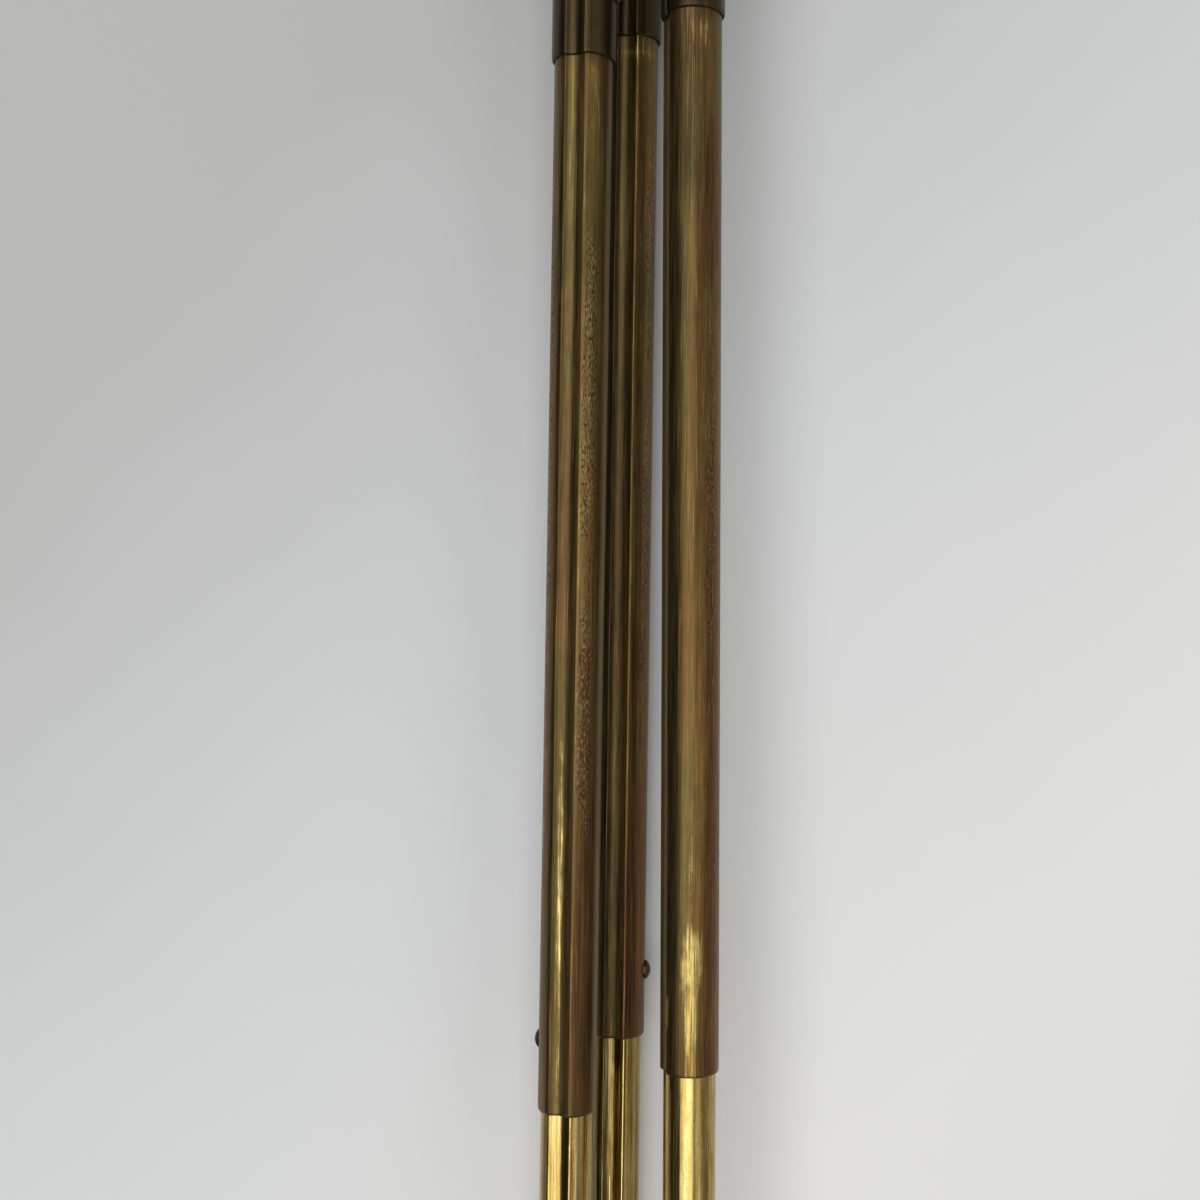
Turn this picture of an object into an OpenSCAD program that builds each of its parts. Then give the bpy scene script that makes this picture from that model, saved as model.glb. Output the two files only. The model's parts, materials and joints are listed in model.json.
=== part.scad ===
// Folding telescopic tripod stand of grooved brass tubes, lying folded on its side.
// +Y runs along the head towards the camera screw, +Z is up from the table, and the
// origin is where the camera screw leaves the seat pad.

/* [Head] */
// From the head's axis to each flat of the head plate, which it lies on
head_flat_r = 26; // [25.5:0.25:28]
// Radius of the head plate at its round corners
head_r = 30; // [29:0.5:34]
// Thickness of the head plate
plate_t = 5; // [4:0.5:8]
// Thickness of the leather pad on the head plate
pad_t = 1.5; // [1:0.25:3]
// Outer radius of the leather pad
pad_r = 24; // [18:0.5:25]
// Thickness of the spider's disc
spider_t = 3; // [2.5:0.5:5]
// Radius of the spider's disc
spider_r = 22.5; // [22.5:0.5:25]

/* [Camera screw] */
// Radius of the camera screw's stud (a quarter inch across)
stud_r = 3.175; // [3:0.025:4.75]
// Length of the stud above the pad
stud_l = 6; // [4.5:0.5:10]
// Radius of the screw's shoulder inside the plate
shoulder_r = 5.5; // [5.25:0.25:6.5]
// Radius of the screw's round head below the spider
screw_head_r = 7; // [6:0.25:7.25]
// Thickness of that head
screw_head_t = 3; // [2:0.5:5]

/* [Head screws] */
// Distance of the three head screws from the axis
head_screw_ring = 18; // [17:0.25:18.5]
// Radius of each head screw's shank
head_screw_r = 1.5; // [1.25:0.25:2]
// Radius of each head screw's head
head_screw_head_r = 2.8; // [2.5:0.1:3]

/* [Leg hinges] */
// Distance of each leg's hinge from the head's axis
hinge_r = 14.5; // [14:0.25:15]
// Depth of the hinge pins below the spider's disc
hinge_drop = 7; // [6.5:0.25:9]
// Radius of the hinge pins
pin_r = 2; // [1.5:0.1:2.4]
// Radius of the ears and knuckles round the pin
ear_r = 5; // [4.5:0.1:5.25]
// Thickness of each ear
ear_t = 3.5; // [3:0.25:4]
// Width of the knuckle between its two ears
knuckle_w = 9; // [8:0.25:9.5]
// Widest angle that a leg spreads to
spread_max = 25; // [20:1:30]

/* [Swivel] */
// Radius of the stem that each leg turns on
stem_r = 3; // [2.5:0.25:3.5]
// Radius of the collar that keeps the leg on its stem
collar_r = 5.2; // [4.5:0.1:6]
// Thickness of the collar
collar_t = 3; // [2:0.5:4]
// Depth of the plug inside the top of the leg
plug_l = 10; // [8:1:14]
// Thickness of the plug's rim above the tube
rim_t = 2; // [1.5:0.5:3]

/* [Leg tubes] */
// Outer radius of the outermost tube
tube_r = 9.875; // [9.6:0.025:10.25]
// Wall of every tube
wall = 0.5; // [0.4:0.05:0.6]
// Sliding gap between one tube and the next
slide_gap = 0.35; // [0.25:0.05:0.4]
// Distance of the groove's centre line from the tube's axis
groove_c = 11.67; // [11.5:0.01:11.85]
// Radius of the groove in the outermost tube
groove_r = 3.21; // [3.1:0.01:3.4]
// Radius of the rounded edges along the groove
edge_r = 0.8; // [0.7:0.05:1]
// Length of the outermost tube
tube_l = 366; // [330:2:420]
// How much shorter each next tube is
tube_step = 18; // [16:1:24]
// Overlap of two tubes when their catch is locked
lap = 37; // [32:1:45]
// Length of tube left showing when a section is pushed right in
stub = 8; // [6:1:12]
// Height of the lip rolled in at each tube's lower end
lip_h = 1.2; // [0.8:0.1:2]
// How far the lip is rolled in
lip_in = 0.2; // [0.1:0.05:0.2]

/* [Catches] */
// Radius of the catch buttons
button_r = 2.75; // [2.25:0.05:3]
// Height of a sprung button above the tube it locks
button_h = 1.7; // [1.2:0.1:1.9]
// Height of the button's round top
dome_h = 1.3; // [0.8:0.1:1.5]
// Radius of the flange that keeps a button in
flange_r = 3.6; // [3.4:0.05:3.8]
// Thickness of that flange
flange_t = 0.6; // [0.4:0.05:0.7]
// Depth of each button below the top of its tube
catch_d = 18; // [17:0.5:19]
// Angle between the groove and the buttons, round the tube
catch_turn = 95; // [85:1:100]
// Width of the leaf spring behind each button
leaf_w = 4.5; // [3.5:0.25:5]
// Thickness of the leaf spring
leaf_t = 0.35; // [0.25:0.05:0.45]
// Radius of the rivet that holds the leaf
rivet_r = 1; // [0.8:0.05:1.2]

/* [Feet] */
// Radius of the brass foot
foot_r = 7.3; // [6.8:0.05:7.5]
// Length of the foot's straight part
foot_h = 7; // [5:0.5:12]
// Length of the foot's taper
foot_taper = 9; // [6:0.5:14]
// Radius of the foot where its taper ends
foot_tip_r = 3.6; // [3.2:0.1:4.5]
// Radius of the steel point at its root
point_r = 2.4; // [2:0.1:2.8]
// Length of the steel point outside the foot
point_l = 12; // [8:0.5:18]

/* [Resting pose] */
// How far the second tubes are drawn out: left, middle and right leg
drawn_out = [42.3, 28, 30]; // [10:0.1:60]
// Outward splay of the two upper legs
upper_splay = [0.13, 0.7]; // [0:0.01:1.5]
// Turn of each leg's groove from straight up, clockwise seen from the feet
groove_turn = [-17, -8, -76]; // [-180:1:180]

/* [Hidden] */
$fn = 96;

// Clearances
fit = 0.08;          // turning fit of a pin or stem in its bore
pin_fit = 0.01;      // hinge pin driven into its ears
side_gap = 0.3;      // knuckle to ear
seat_gap = 0.1;      // a part that only rests against its neighbour
plug_fit = 0.05;     // plug or foot inside its tube
button_fit = 0.15;   // button in its holes
eps = 0.01;          // overshoot of a cut

// Levels along the head, from the seat pad's face down
plate_y = -pad_t;
spider_y = plate_y - plate_t;
ear_y = spider_y - spider_t;
hinge_y = ear_y - hinge_drop;

// Legs: direction from straight up, hand of the catches
leg_names = ["left", "middle", "right"];
leg_turn = [-60, 180, 60];
leg_hand = [-1, 1, -1];
sections = 4;
edge_facets = 3;

// Radii of section k, counted from the outermost, and of its groove
step_in = wall + slide_gap;
function outer_r(k) = tube_r - (k - 1) * step_in;
function inner_r(k) = outer_r(k) - wall;
function groove(k) = groove_r + (k - 1) * step_in;

// Levels along a leg, from its hinge: the leg runs down to negative values
tube_top = -(ear_r + 3 + rim_t);
function length(k) = tube_l - (k - 1) * tube_step;
function bottom(leg, k) = k == 1 ? tube_top - tube_l
    : k == 2 ? bottom(leg, 1) - drawn_out[leg]
    : bottom(leg, k - 1) - (length(k) - lap);
function top(leg, k) = bottom(leg, k) + length(k);

// Catches: level, side of the groove, and places along the button's own axis
function catch_z(leg, k) = top(leg, k) - catch_d;
function catch_side(leg, k) = (k == 3 ? -1 : 1) * leg_hand[leg] * catch_turn;
function flange_x(k) = sqrt(pow(inner_r(k), 2) - pow(flange_r, 2)) - seat_gap / 2 - flange_t;
function tip_x(k) = outer_r(k - 1) + button_h;
press = button_h + wall + slide_gap * 0.8;
function pressed(k) = k == 2 ? press : 0;
function leaf_x(k) = sqrt(pow(inner_r(k), 2) - pow(leaf_w / 2, 2)) - seat_gap / 2;
rivet_d = 4;
leaf_end = catch_d + button_r + 0.7;
rivet_head_r = rivet_r + 0.6;
rivet_head_t = 0.5;

// Splay of each leg: the lower leg droops until its foot is on the table
foot_reach = -(bottom(1, sections) - foot_h);
droop = asin((head_flat_r - hinge_r - foot_r) / foot_reach);
leg_splay = [upper_splay[0], droop, upper_splay[1]];

brass = "#b8924a";
dark_brass = "#4a3d28";
bronze = "#6b5330";
steel = "#8d8f91";
leather = "#3a2a20";
function tube_color(k) = k <= 2 ? dark_brass : k == 3 ? bronze : brass;

// Stands a leg's own axes up at its hinge: Z towards the head, and X upright in the groove
module at_hinge(leg) {
    translate([hinge_r * sin(leg_turn[leg]), hinge_y, hinge_r * cos(leg_turn[leg])])
        rotate([0, leg_turn[leg], 0])
            children();
}

module along_leg(leg) {
    at_hinge(leg)
        rotate([-90 - leg_splay[leg], 0, 0])
            children();
}

module swivelled(leg) {
    along_leg(leg)
        rotate([0, 0, groove_turn[leg] - leg_turn[leg] - 90])
            children();
}

// Axes of a catch: X out through the button
module at_catch(leg, k) {
    swivelled(leg)
        translate([0, 0, catch_z(leg, k)])
            rotate([0, 0, catch_side(leg, k)])
                children();
}

module rod_x(r, from, to) {
    translate([from, 0, 0])
        rotate([0, 90, 0])
            cylinder(h = to - from, r = r);
}

module rod_y(r, from, to) {
    translate([0, from, 0])
        rotate([-90, 0, 0])
            cylinder(h = to - from, r = r);
}

// Outline of a grooved tube: a circle with a round groove on its +X side and rounded edges,
// each cut in a few short facets
module outline(r, g, f) {
    turn = acos((pow(r - f, 2) + pow(groove_c, 2) - pow(g + f, 2)) / (2 * (r - f) * groove_c));
    centre = (r - f) * [cos(turn), sin(turn)];
    turn_end = atan2(-centre.y, groove_c - centre.x);
    arc = [for (i = [0:edge_facets]) let (a = turn + (turn_end - turn) * i / edge_facets)
        centre + f * [cos(a), sin(a)]];
    first = arc[0] + 0.3 * (arc[0] - arc[1]);
    last = arc[edge_facets] + 0.3 * (arc[edge_facets] - arc[edge_facets - 1]);
    beyond = centre + 3 * f * [cos((turn + turn_end) / 2), sin((turn + turn_end) / 2)];
    difference() {
        circle(r);
        translate([groove_c, 0])
            circle(g);
        for (side = [0, 1])
            mirror([0, side])
                polygon(concat([first], [for (i = [1:edge_facets - 1]) arc[i]], [last, beyond]));
    }
}

module inner_outline(k, shrink) {
    outline(inner_r(k) - shrink, groove(k) + wall + shrink, edge_r - wall + shrink);
}

module tube(leg, k) {
    color(tube_color(k))
        difference() {
            swivelled(leg)
                translate([0, 0, bottom(leg, k)])
                    difference() {
                        linear_extrude(length(k))
                            outline(outer_r(k), groove(k), edge_r);
                        translate([0, 0, k < sections ? lip_h : -eps])
                            linear_extrude(length(k) + 2 * eps)
                                inner_outline(k, 0);
                        if (k < sections)
                            translate([0, 0, -eps])
                                linear_extrude(lip_h + 2 * eps)
                                    inner_outline(k, lip_in);
                    }
            if (k > 1)
                at_catch(leg, k) {
                    rod_x(button_r + button_fit, 0, tube_r * 2);
                    translate([0, 0, catch_d - rivet_d])
                        rod_x(rivet_r, 0, tube_r * 2);
                }
            if (k < sections)
                at_lock(leg, k)
                    rod_x(button_r + button_fit, 0, tube_r * 2);
        }
}

// Where the next section's button locks, near the lower end of tube k
module at_lock(leg, k) {
    swivelled(leg)
        translate([0, 0, bottom(leg, k) + lap - catch_d])
            rotate([0, 0, catch_side(leg, k + 1)])
                children();
}

module button(leg, k) {
    dome_r = (pow(button_r, 2) + pow(dome_h, 2)) / (2 * dome_h);
    dome_x = tip_x(k) - dome_h;
    color(brass)
        at_catch(leg, k)
            translate([-pressed(k), 0, 0]) {
                rod_x(flange_r, flange_x(k), flange_x(k) + flange_t);
                rod_x(button_r, flange_x(k), dome_x);
                rotate([0, 90, 0])
                    rotate_extrude()
                        intersection() {
                            translate([0, tip_x(k) - dome_r])
                                circle(dome_r);
                            translate([0, dome_x - eps])
                                square([button_r, dome_h + eps]);
                        }
            }
}

// Leaf spring: riveted to the tube near its top, with the button on its free end
module leaf_spring(leg, k) {
    root = leaf_x(k);
    free = flange_x(k) - pressed(k);
    bend_1 = catch_d - rivet_d - rivet_head_r - 0.6;
    bend_2 = flange_r + 0.6;
    color(steel)
        at_catch(leg, k) {
            difference() {
                rotate([90, 0, 0])
                    translate([0, 0, -leaf_w / 2])
                        linear_extrude(leaf_w)
                            polygon([
                                [root, catch_d - 1.5], [root, bend_1], [free, bend_2],
                                [free, catch_d - leaf_end], [free - leaf_t, catch_d - leaf_end],
                                [free - leaf_t, bend_2], [root - leaf_t, bend_1],
                                [root - leaf_t, catch_d - 1.5]]);
                translate([0, 0, catch_d - rivet_d])
                    rod_x(rivet_r, 0, tube_r * 2);
            }
            translate([0, 0, catch_d - rivet_d]) {
                rod_x(rivet_r, root - leaf_t - rivet_head_t, outer_r(k) - seat_gap);
                rod_x(rivet_head_r, root - leaf_t - rivet_head_t, root - leaf_t);
            }
        }
}

// Knuckle: an eye on the hinge pin, two heels that stop the swing, and the swivel stem
module knuckle(leg) {
    heel_top = hinge_drop - seat_gap;
    heel_in = ear_r * 0.7;
    heel_out = (hinge_drop - seat_gap - ear_r * cos(spread_max)) / sin(spread_max);
    stem_end = tube_top - plug_l - seat_gap;
    color(bronze)
        along_leg(leg)
            difference() {
                union() {
                    rotate([0, 90, 0])
                        translate([0, 0, -knuckle_w / 2])
                            cylinder(h = knuckle_w, r = ear_r);
                    rotate([0, 0, 180])
                        rotate([90, 0, 90])
                            translate([0, 0, -knuckle_w / 2])
                                linear_extrude(knuckle_w)
                                    polygon([[-heel_in, 0], [-heel_in, heel_top], [0, heel_top],
                                        [ear_r * 0.3, ear_r], [heel_out, ear_r], [heel_out, 0]]);
                    translate([0, 0, tube_top + rim_t + seat_gap])
                        cylinder(h = -(tube_top + rim_t + seat_gap) - ear_r * 0.6, r = stem_r + 1);
                    translate([0, 0, stem_end - eps])
                        cylinder(h = -stem_end, r = stem_r);
                    translate([0, 0, stem_end - collar_t])
                        cylinder(h = collar_t, r = collar_r);
                }
                rotate([0, 90, 0])
                    cylinder(h = knuckle_w * 2, r = pin_r + fit, center = true);
            }
}

// Plug in the top of the leg, which turns on the stem
module top_plug(leg) {
    color(brass)
        swivelled(leg)
            difference() {
                union() {
                    translate([0, 0, tube_top])
                        cylinder(h = rim_t, r = tube_r);
                    translate([0, 0, tube_top - plug_l])
                        linear_extrude(plug_l + eps)
                            inner_outline(1, plug_fit);
                }
                translate([0, 0, tube_top - plug_l - eps])
                    cylinder(h = plug_l + rim_t + 2 * eps, r = stem_r + fit);
            }
}

module foot(leg) {
    end = bottom(leg, sections);
    color(brass)
        swivelled(leg)
            difference() {
                union() {
                    translate([0, 0, end - eps])
                        linear_extrude(plug_l)
                            inner_outline(sections, plug_fit);
                    translate([0, 0, end - foot_h])
                        cylinder(h = foot_h, r = foot_r);
                    translate([0, 0, end - foot_h - foot_taper])
                        cylinder(h = foot_taper, r1 = foot_tip_r, r2 = foot_r);
                }
                translate([0, 0, end - foot_h - foot_taper - eps])
                    cylinder(h = foot_taper + eps, r = point_r);
            }
}

module steel_point(leg) {
    root = bottom(leg, sections) - foot_h;
    color(steel)
        swivelled(leg) {
            translate([0, 0, root - foot_taper])
                cylinder(h = foot_taper, r = point_r);
            translate([0, 0, root - foot_taper - point_l])
                cylinder(h = point_l, r1 = point_r * 0.2, r2 = point_r);
        }
}

// Head plate: a disc with a flat beside each leg, so that the folded stand lies still
module head_plate() {
    color(dark_brass)
        difference() {
            rod_y(head_r, spider_y, plate_y);
            for (turn = leg_turn)
                rotate([0, turn, 0])
                    translate([-head_r, spider_y - eps, head_flat_r])
                        cube([head_r * 2, plate_t + 2 * eps, head_r]);
            rod_y(shoulder_r + fit, spider_y - eps, plate_y + eps);
            at_head_screws()
                rod_y(head_screw_r, spider_y - eps, plate_y - 1);
        }
}

module at_head_screws() {
    for (turn = leg_turn)
        rotate([0, turn + 60, 0])
            translate([0, 0, head_screw_ring])
                children();
}

module head_spider() {
    color(bronze)
        difference() {
            union() {
                rod_y(spider_r, ear_y, spider_y);
                for (leg = [0:2], side = [-1, 1])
                    at_hinge(leg)
                        translate([side * (knuckle_w / 2 + side_gap + ear_t / 2), 0, 0])
                            ear();
            }
            rod_y(stud_r + fit, ear_y - eps, spider_y + eps);
            at_head_screws()
                rod_y(head_screw_r, ear_y - eps, spider_y + eps);
            for (leg = [0:2])
                at_hinge(leg)
                    rotate([0, 90, 0])
                        cylinder(h = spider_r * 2, r = pin_r + pin_fit, center = true);
        }
}

module ear() {
    rotate([0, 90, 0])
        cylinder(h = ear_t, r = ear_r, center = true);
    translate([-ear_t / 2, 0, -ear_r])
        cube([ear_t, hinge_drop + eps, ear_r * 2]);
}

module seat_pad() {
    color(leather)
        difference() {
            rod_y(pad_r, plate_y, 0);
            rod_y(shoulder_r + fit, plate_y - eps, eps);
        }
}

// Camera screw: a stud on a shoulder, pulled down by a round head under the spider
module camera_screw() {
    color(brass) {
        rod_y(stud_r, -eps, stud_l);
        rod_y(shoulder_r, spider_y, 0);
        rod_y(stud_r, ear_y - eps, spider_y + eps);
        rod_y(screw_head_r, ear_y - screw_head_t, ear_y);
    }
}

module head_screws() {
    color(steel)
        at_head_screws() {
            rod_y(head_screw_r, ear_y - eps, plate_y - 1);
            rod_y(head_screw_head_r, ear_y - head_screw_head_r / 2, ear_y);
        }
}

module hinge_pins() {
    pin_l = knuckle_w + 2 * (side_gap + ear_t) + 1;
    color(steel)
        for (leg = [0:2])
            at_hinge(leg)
                rotate([0, 90, 0])
                    cylinder(h = pin_l, r = pin_r, center = true);
}

head_plate();
head_spider();
seat_pad();
camera_screw();
head_screws();
hinge_pins();
for (leg = [0:2]) {
    start = str(leg_names[leg], "_leg_");
    knuckle(leg);
    top_plug(leg);
    foot(leg);
    steel_point(leg);
    for (k = [1:sections])
        tube(leg, k);
    for (k = [2:sections]) {
        button(leg, k);
        leaf_spring(leg, k);
    }
}
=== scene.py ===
# Folding brass stand: three grooved telescopic legs hinged under a round head, lying folded on its side.
import json
import math

import bpy
from mathutils import Matrix, Vector

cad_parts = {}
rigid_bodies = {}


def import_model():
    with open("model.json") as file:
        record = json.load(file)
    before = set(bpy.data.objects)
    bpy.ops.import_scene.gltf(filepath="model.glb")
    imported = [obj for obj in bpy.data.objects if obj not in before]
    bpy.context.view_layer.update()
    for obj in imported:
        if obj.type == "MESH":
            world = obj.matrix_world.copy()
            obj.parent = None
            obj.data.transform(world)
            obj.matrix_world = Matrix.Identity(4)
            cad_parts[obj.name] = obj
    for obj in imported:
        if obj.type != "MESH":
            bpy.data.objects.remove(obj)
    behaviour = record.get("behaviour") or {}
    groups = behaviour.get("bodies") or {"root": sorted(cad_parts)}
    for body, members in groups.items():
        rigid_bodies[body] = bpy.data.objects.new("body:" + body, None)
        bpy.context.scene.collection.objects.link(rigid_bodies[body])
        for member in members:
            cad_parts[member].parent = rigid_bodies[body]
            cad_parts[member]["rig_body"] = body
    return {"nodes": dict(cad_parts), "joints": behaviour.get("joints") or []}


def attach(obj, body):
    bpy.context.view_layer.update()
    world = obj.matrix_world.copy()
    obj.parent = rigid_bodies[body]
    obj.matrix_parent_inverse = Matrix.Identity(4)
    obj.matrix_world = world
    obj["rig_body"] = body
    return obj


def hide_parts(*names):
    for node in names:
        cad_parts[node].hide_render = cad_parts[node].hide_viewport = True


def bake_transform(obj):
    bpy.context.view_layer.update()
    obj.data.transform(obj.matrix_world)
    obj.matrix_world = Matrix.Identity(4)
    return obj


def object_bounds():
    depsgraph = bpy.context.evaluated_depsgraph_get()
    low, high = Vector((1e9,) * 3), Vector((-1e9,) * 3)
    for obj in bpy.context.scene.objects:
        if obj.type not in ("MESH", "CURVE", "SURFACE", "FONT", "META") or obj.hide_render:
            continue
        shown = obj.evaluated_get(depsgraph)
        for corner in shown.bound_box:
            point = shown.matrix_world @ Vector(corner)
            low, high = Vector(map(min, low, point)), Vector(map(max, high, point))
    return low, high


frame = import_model()
cadBox = [[round(v, 6) for v in corner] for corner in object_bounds()]
cadNodes = frame["nodes"]
joints = {joint["name"]: joint for joint in frame["joints"]}
mm = 0.001
weld = 0.002 * mm  # points nearer than this are one point
ledge = 0.01  # height in millimetres of a square step in a turned profile
legNames = ("left", "middle", "right")
print("frame loaded:", len(cadNodes), "parts")


def linear(hexColor):
    values = [int(hexColor[i:i + 2], 16) / 255 for i in (1, 3, 5)]
    return [v / 12.92 if v <= 0.04045 else ((v + 0.055) / 1.055) ** 2.4 for v in values] + [1.0]


def addNode(tree, kind, links=None, **settings):
    # links maps an input's name or number to a socket or a plain value
    node = tree.nodes.new(kind)
    for key, value in settings.items():
        setattr(node, key, value)
    for key, value in (links or {}).items():
        if isinstance(value, bpy.types.NodeSocket):
            tree.links.new(value, node.inputs[key])
        else:
            node.inputs[key].default_value = value
    return node


def newMaterial(name, **sockets):
    material = bpy.data.materials.new(name)
    material.use_nodes = True
    shader = material.node_tree.nodes["Principled BSDF"]
    for key, value in sockets.items():
        shader.inputs[key.replace("_", " ")].default_value = value
    return material, material.node_tree, shader


def paint(piece, material):
    piece.data.materials.clear()
    piece.data.materials.append(material)


def deselect():
    if bpy.context.object and bpy.context.object.mode != "OBJECT":
        bpy.ops.object.mode_set(mode="OBJECT")
    bpy.ops.object.select_all(action="DESELECT")


def makeActive(piece):
    deselect()
    piece.select_set(True)
    bpy.context.view_layer.objects.active = piece


def applyModifier(piece, kind, **settings):
    makeActive(piece)
    modifier = piece.modifiers.new(kind.lower(), kind)
    for key, value in settings.items():
        setattr(modifier, key, value)
    bpy.ops.object.modifier_apply(modifier=modifier.name)


def editAll(piece):
    makeActive(piece)
    bpy.ops.object.mode_set(mode="EDIT")
    bpy.ops.mesh.select_all(action="SELECT")


def smooth(piece, degrees=35):
    makeActive(piece)
    bpy.ops.object.shade_smooth_by_angle(angle=math.radians(degrees))


def duplicate(name, mesh):
    piece = bpy.data.objects.new(name, mesh.copy())
    bpy.context.scene.collection.objects.link(piece)
    return piece


def combine(piece, other, operation):
    # the other solid is used up
    applyModifier(piece, "BOOLEAN", object=other, operation=operation, solver="EXACT")
    bpy.data.objects.remove(other)


def startPoint(x, z=0.0):
    # one point in edit mode, to be drawn out into an outline
    deselect()
    bpy.ops.mesh.primitive_circle_add(vertices=3, radius=mm, fill_type="NOTHING")
    piece = bpy.context.object
    editAll(piece)
    bpy.ops.mesh.merge(type="CENTER")
    bpy.ops.transform.translate(value=(x, 0, z))
    return piece


def closeEditing():
    # the whole mesh is given outward normals before edit mode ends
    bpy.ops.mesh.select_all(action="SELECT")
    bpy.ops.mesh.normals_make_consistent(inside=False)
    bpy.ops.object.mode_set(mode="OBJECT")


def fit(piece, finish, body, node):
    # gives a finished piece its material and its body, and shows it in place of one CAD part
    paint(piece, finishes[finish])
    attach(piece, body)
    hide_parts(node)


def streaks(tree, place, across, along, seed, detail=5.0, rough=0.6):
    # noise from 0 to 1 drawn out along the legs, its patches so many millimetres across and along
    wide, tall = 1 / (across * mm), 1 / (along * mm)
    mapped = addNode(tree, "ShaderNodeMapping", {
        "Vector": place,
        "Location": (seed, seed * 1.7, seed * 0.6),
        "Scale": (wide, tall, wide),
    }).outputs[0]
    cloud = addNode(tree, "ShaderNodeTexNoise", {
        "Vector": mapped, "Scale": 1.0, "Detail": detail, "Roughness": rough,
    }).outputs[0]
    return rescale(tree, cloud, 0.3, 0.7)


def ramp(tree, value, stops):
    node = addNode(tree, "ShaderNodeValToRGB", {0: value})
    while len(node.color_ramp.elements) < len(stops):
        node.color_ramp.elements.new(0.5)
    for element, (position, color) in zip(node.color_ramp.elements, stops):
        element.position = position
        element.color = linear(color)
    return node.outputs[0]


def rescale(tree, value, low, high, start=0.0, end=1.0):
    return addNode(tree, "ShaderNodeMapRange", {0: value, 1: low, 2: high, 3: start, 4: end}).outputs[0]


def reckon(tree, operation, first, second, third=0.0):
    return addNode(tree, "ShaderNodeMath", {0: first, 1: second, 2: third}, operation=operation).outputs[0]


def blend(tree, amount, first, second):
    node = addNode(tree, "ShaderNodeMix", {0: amount}, data_type="RGBA")
    for socket, value in ((node.inputs[6], first), (node.inputs[7], second)):
        if isinstance(value, bpy.types.NodeSocket):
            tree.links.new(value, socket)
        else:
            socket.default_value = linear(value)
    return node.outputs[2]


def mask(tree, name):
    return addNode(tree, "ShaderNodeAttribute", attribute_name=name).outputs["Fac"]


def worn(tree, name, waver, low, high):
    # a sign of use whose edge wanders with the noise
    shifted = reckon(tree, "MULTIPLY_ADD", reckon(tree, "SUBTRACT", waver, 0.5), 0.7, mask(tree, name))
    limits = {0: shifted, 1: low, 2: high}
    return addNode(tree, "ShaderNodeMapRange", limits, interpolation_type="SMOOTHSTEP").outputs[0]


camera = {"place": (-0.0067, -0.58518, 0.430), "turn": 0.82, "lens": 45.19}
floor = {  # metres; it lies a hair below the lowest point of the stand
    "level": cadBox[0][2] - 0.02 * mm, "along": -0.5, "size": 6.0,
    "paintedShadeTones": [(0.0, "#bebfbe"), (0.5, "#d9dbdc"), (1.0, "#ececeb")],  # painted shade, from the far left to the near right
    "shadeMiddle": 0.135, "shadeReach": 0.46,
    "cloudScale": 7.0, "cloudDepth": 0.10,
}
lamps = {  # leans in degrees to the right of straight above; widths in degrees, as seen from the object
    "window": {"lean": -14, "width": 54, "length": 2.2, "away": 1.4, "along": -0.6, "strength": 2.0},
    "secondWindow": {"lean": 38, "width": 24, "length": 2.0, "away": 1.5, "along": -0.6, "strength": 0.52},
}
room = {"color": "#fffefb", "from": -0.9, "to": 0.6, "left": 0.07, "right": 0.34}


def makeCamera():
    bpy.ops.object.camera_add(location=camera["place"], rotation=(0, 0, math.radians(camera["turn"])))
    lens = bpy.context.object.data
    lens.lens = camera["lens"]
    lens.clip_start = 0.01
    bpy.context.scene.camera = bpy.context.object


def makeFloor():
    deselect()
    bpy.ops.mesh.primitive_plane_add(size=floor["size"], location=(0, floor["along"], floor["level"]))
    board = bpy.context.object
    board.name = "floor"
    # matt emulsion on board, flat with faint cloudy patches; its colour is painted darker towards the far
    # left and lighter towards the near right as painted shade
    material, tree, shader = newMaterial("Matt emulsion paint", Roughness=0.7)
    place = addNode(tree, "ShaderNodeTexCoord").outputs["Object"]
    axes = addNode(tree, "ShaderNodeSeparateXYZ", {0: place}).outputs
    # the painted shade runs across the floor, darkest at the far left
    slope = reckon(tree, "SUBTRACT", axes[0], axes[1])
    cloud = addNode(tree, "ShaderNodeTexNoise", {
        "Vector": place, "Scale": floor["cloudScale"], "Detail": 6.0,
    }).outputs[0]
    drift = reckon(tree, "MULTIPLY_ADD", cloud, floor["cloudDepth"], slope)
    middle, half = floor["shadeMiddle"], floor["shadeReach"] / 2
    shade = rescale(tree, drift, middle - half, middle + half)
    tree.links.new(ramp(tree, shade, floor["paintedShadeTones"]), shader.inputs["Base Color"])
    paint(board, material)


def makeLamp(name, spec):
    lean = math.radians(spec["lean"])
    place = (spec["away"] * math.sin(lean), spec["along"], spec["away"] * math.cos(lean))
    bpy.ops.object.light_add(type="AREA", location=place, rotation=(0, lean, 0))
    light = bpy.context.object
    light.name = name
    width = 2 * spec["away"] * math.tan(math.radians(spec["width"] / 2))
    light.data.shape = "RECTANGLE"
    light.data.size, light.data.size_y = width, spec["length"]
    light.data.energy = spec["strength"] * math.pi * width * spec["length"]
    light.visible_camera = False


def makeRoom():
    # a plain room: dim towards the left, paler towards the right
    world = bpy.data.worlds.new("room")
    bpy.context.scene.world = world
    world.use_nodes = True
    tree = world.node_tree
    tree.nodes.clear()
    way = addNode(tree, "ShaderNodeTexCoord").outputs["Generated"]
    sideways = addNode(tree, "ShaderNodeSeparateXYZ", {0: way}).outputs[0]
    level = rescale(tree, sideways, room["from"], room["to"], room["left"], room["right"])
    light = addNode(tree, "ShaderNodeBackground", {"Color": linear(room["color"]), "Strength": level})
    addNode(tree, "ShaderNodeOutputWorld", {"Surface": light.outputs[0]})


makeCamera()
makeFloor()
for lampName in lamps:
    makeLamp(lampName, lamps[lampName])
makeRoom()
bpy.context.scene.view_settings.view_transform = "Standard"
print("camera, floor and light made")


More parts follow.
